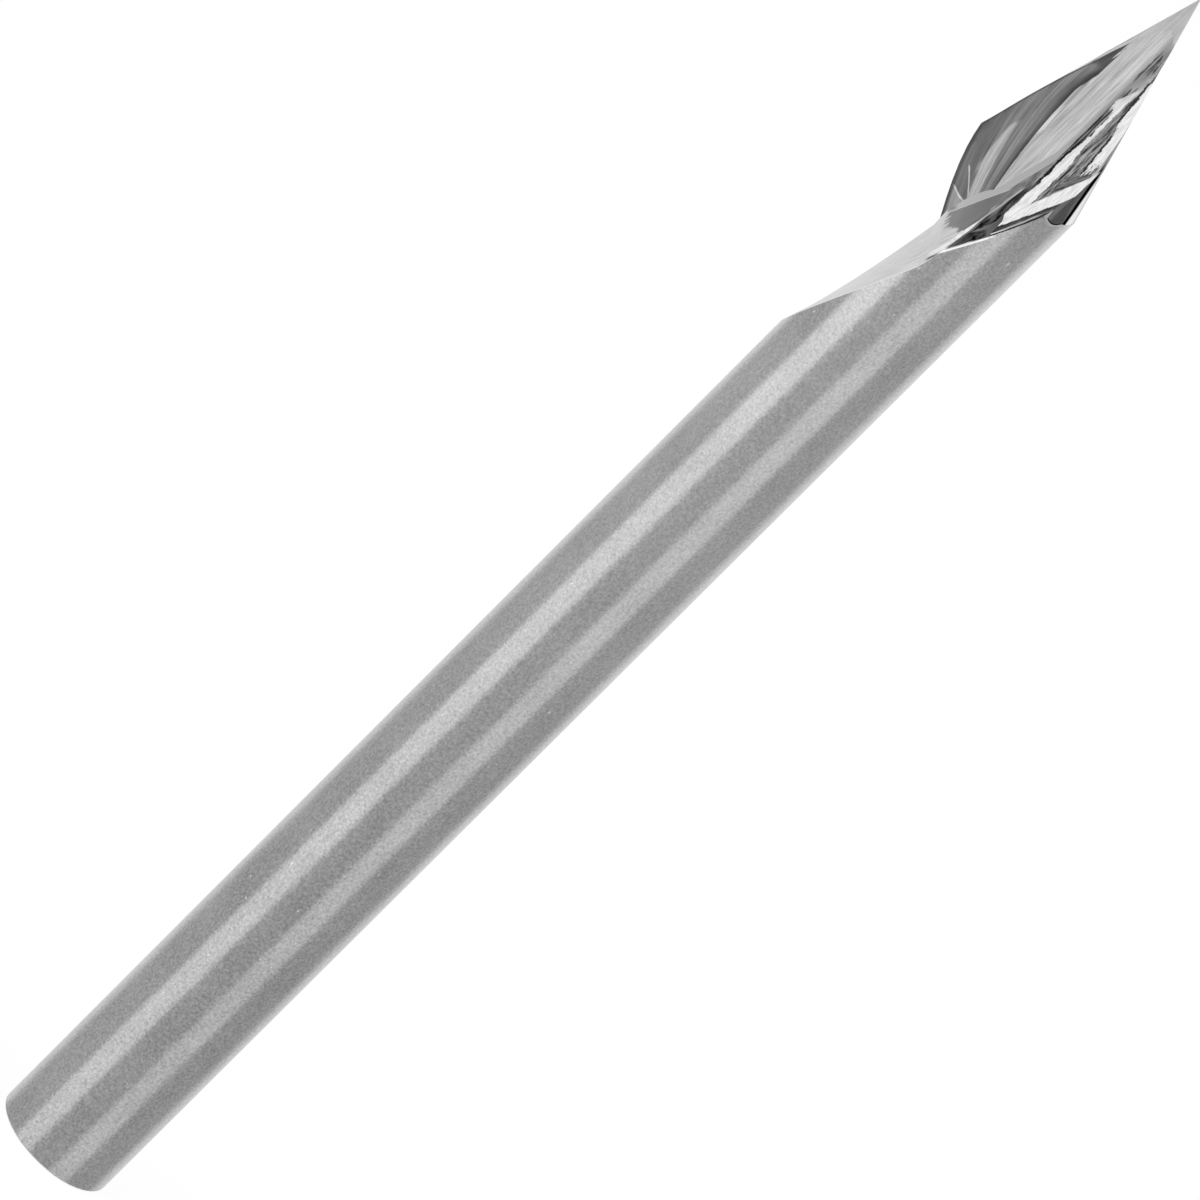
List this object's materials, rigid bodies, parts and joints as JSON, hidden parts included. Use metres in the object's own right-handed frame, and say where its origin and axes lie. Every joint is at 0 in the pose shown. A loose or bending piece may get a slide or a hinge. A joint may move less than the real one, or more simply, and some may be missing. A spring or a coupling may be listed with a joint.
{
  "type": "v groove router bit",
  "caption": "Slender V groove router bit ground from solid carbide, with a round shank, a helical flute that runs out on the shank, and a sharp conical point.",
  "frame": {"origin": "middle of the flat end of the shank, which the bit stands on", "axes": "+Z along the tool axis from the shank end to the point, -Y towards the front of the flute"},
  "size_m": [0.0032, 0.0032, 0.04],
  "materials": {
    "carbide": "ground"
  },
  "bodies": {
    "root": {"router_bit": "carbide"}
  },
  "joints": []
}
